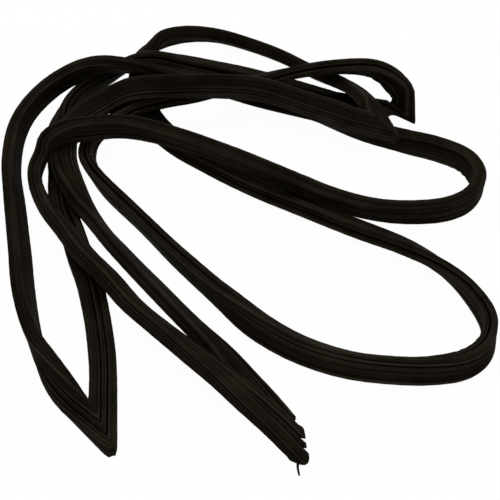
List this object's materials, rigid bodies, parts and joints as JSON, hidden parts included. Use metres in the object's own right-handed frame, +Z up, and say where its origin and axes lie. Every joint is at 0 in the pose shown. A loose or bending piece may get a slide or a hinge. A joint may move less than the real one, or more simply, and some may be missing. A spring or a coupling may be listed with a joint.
{
  "type": "door gasket",
  "caption": "Welded rectangular ring of soft black rubber profile strip for an upright refrigerator door, lying loosely folded in a heap with its corners showing.",
  "frame": {"origin": "under the middle of the heap's outline, at floor level", "axes": "+Z up off the floor; +Y along the heap's longest reach, from the two pointed corners at the front to the far bend; +X to the right of that"},
  "size_m": [0.4, 0.489, 0.0537],
  "materials": {
    "gasket_rubber": "satin black moulded vinyl rubber, faintly dusty, with darker grooves"
  },
  "bodies": {
    "root": {"door_gasket": "gasket_rubber"}
  },
  "joints": []
}
